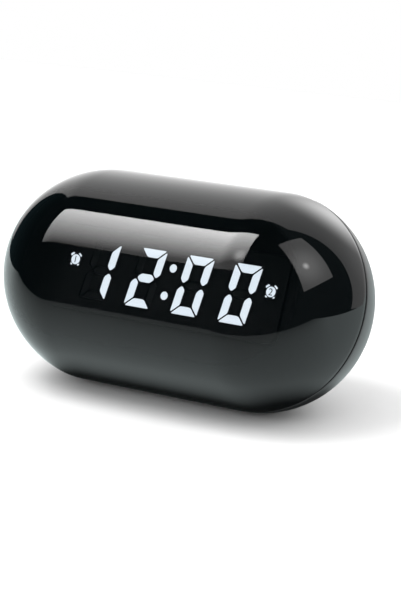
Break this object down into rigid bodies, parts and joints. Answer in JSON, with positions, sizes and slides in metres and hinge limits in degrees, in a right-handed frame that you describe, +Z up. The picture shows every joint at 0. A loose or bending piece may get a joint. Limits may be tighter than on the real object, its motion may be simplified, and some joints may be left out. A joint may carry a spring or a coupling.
{
  "type": "digital alarm clock",
  "caption": "Pill-shaped digital alarm clock leaning back on low feet, with a glossy smoked dome over a white seven-segment display and keys on its back.",
  "frame": {"origin": "on the table under the middle of the clock's bounding box", "axes": "+X to the clock's left seen from behind (right seen from the front), -Y where the display faces, +Z up"},
  "size_m": [0.143, 0.0712, 0.0742],
  "materials": {
    "smoked_dome": "high gloss, tinted see-through",
    "case_plastic": "fine satin texture",
    "inner_plastic": "dead matt",
    "key_plastic": "soft satin",
    "foot_rubber": "matt rubber",
    "light_diffuser": "milky, lit from behind",
    "circuit_board": "solder mask",
    "switch_plastic": "moulded",
    "component_black": "moulded",
    "speaker_paper": "pressed paper",
    "bare_metal": "plated sheet steel"
  },
  "bodies": {
    "root": {"alarm_1_switch": "switch_plastic", "alarm_2_switch": "switch_plastic", "battery_contact": "bare_metal", "board_header": "component_black", "case_screw_1": "bare_metal", "case_screw_2": "bare_metal", "case_screw_3": "bare_metal", "case_screw_4": "bare_metal", "coin_cell": "bare_metal", "controller_chip": "component_black", "dimmer_case": "switch_plastic", "display_frame": "inner_plastic", "filter_capacitor": "component_black", "foot_front_left": "foot_rubber", "foot_front_right": "foot_rubber", "foot_rear_left": "foot_rubber", "foot_rear_right": "foot_rubber", "front_shell": "smoked_dome", "inlet_pin": "bare_metal", "key_board": "circuit_board", "led_board": "circuit_board", "led_diffuser": "light_diffuser", "led_housing": "inner_plastic", "main_board": "circuit_board", "minus_switch": "switch_plastic", "plus_switch": "switch_plastic", "power_inlet": "component_black", "rear_shell": "case_plastic", "snooze_board": "circuit_board", "snooze_switch": "switch_plastic", "speaker_basket": "bare_metal", "speaker_magnet": "component_black", "time_switch": "switch_plastic", "tuner_can": "bare_metal"},
    "snooze_bar": {"snooze_bar": "key_plastic"},
    "alarm_1_key": {"alarm_1_key": "key_plastic"},
    "minus_key": {"minus_key": "key_plastic"},
    "time_key": {"time_key": "key_plastic"},
    "plus_key": {"plus_key": "key_plastic"},
    "alarm_2_key": {"alarm_2_key": "key_plastic"},
    "dimmer_knob": {"dimmer_knob": "key_plastic"},
    "battery_cap": {"battery_cap": "case_plastic"},
    "speaker_cone": {"speaker_cone": "speaker_paper"}
  },
  "joints": [
    {"name": "snooze_press", "type": "slide", "parent": "root", "child": "snooze_bar", "axis": [0, -0.6938, -0.7201], "range_m": [0, 0.0009], "stiffness_N_per_m": 600, "springref_m": -0.0006},
    {"name": "alarm_1_press", "type": "slide", "parent": "root", "child": "alarm_1_key", "axis": [0, -0.9311, -0.3648], "range_m": [0, 0.0007], "stiffness_N_per_m": 400, "springref_m": -0.0006},
    {"name": "minus_press", "type": "slide", "parent": "root", "child": "minus_key", "axis": [0, -0.9311, -0.3648], "range_m": [0, 0.0007], "stiffness_N_per_m": 400, "springref_m": -0.0006},
    {"name": "time_press", "type": "slide", "parent": "root", "child": "time_key", "axis": [0, -0.9311, -0.3648], "range_m": [0, 0.0007], "stiffness_N_per_m": 400, "springref_m": -0.0006},
    {"name": "plus_press", "type": "slide", "parent": "root", "child": "plus_key", "axis": [0, -0.9311, -0.3648], "range_m": [0, 0.0007], "stiffness_N_per_m": 400, "springref_m": -0.0006},
    {"name": "alarm_2_press", "type": "slide", "parent": "root", "child": "alarm_2_key", "axis": [0, -0.9311, -0.3648], "range_m": [0, 0.0007], "stiffness_N_per_m": 400, "springref_m": -0.0006},
    {"name": "dimmer_slide", "type": "slide", "parent": "root", "child": "dimmer_knob", "axis": [1, 0, 0], "range_m": [0, 0.003]},
    {"name": "battery_cap_turn", "type": "hinge", "parent": "root", "child": "battery_cap", "pos_m": [0.0153, 0.02451, 0.01313], "axis": [0, 0.7454, -0.6667], "range_deg": [0, 40]},
    {"name": "cone_travel", "type": "slide", "parent": "root", "child": "speaker_cone", "axis": [0, 0.9205, -0.3907], "range_m": [-0.0006, 0.0006], "stiffness_N_per_m": 1200}
  ]
}
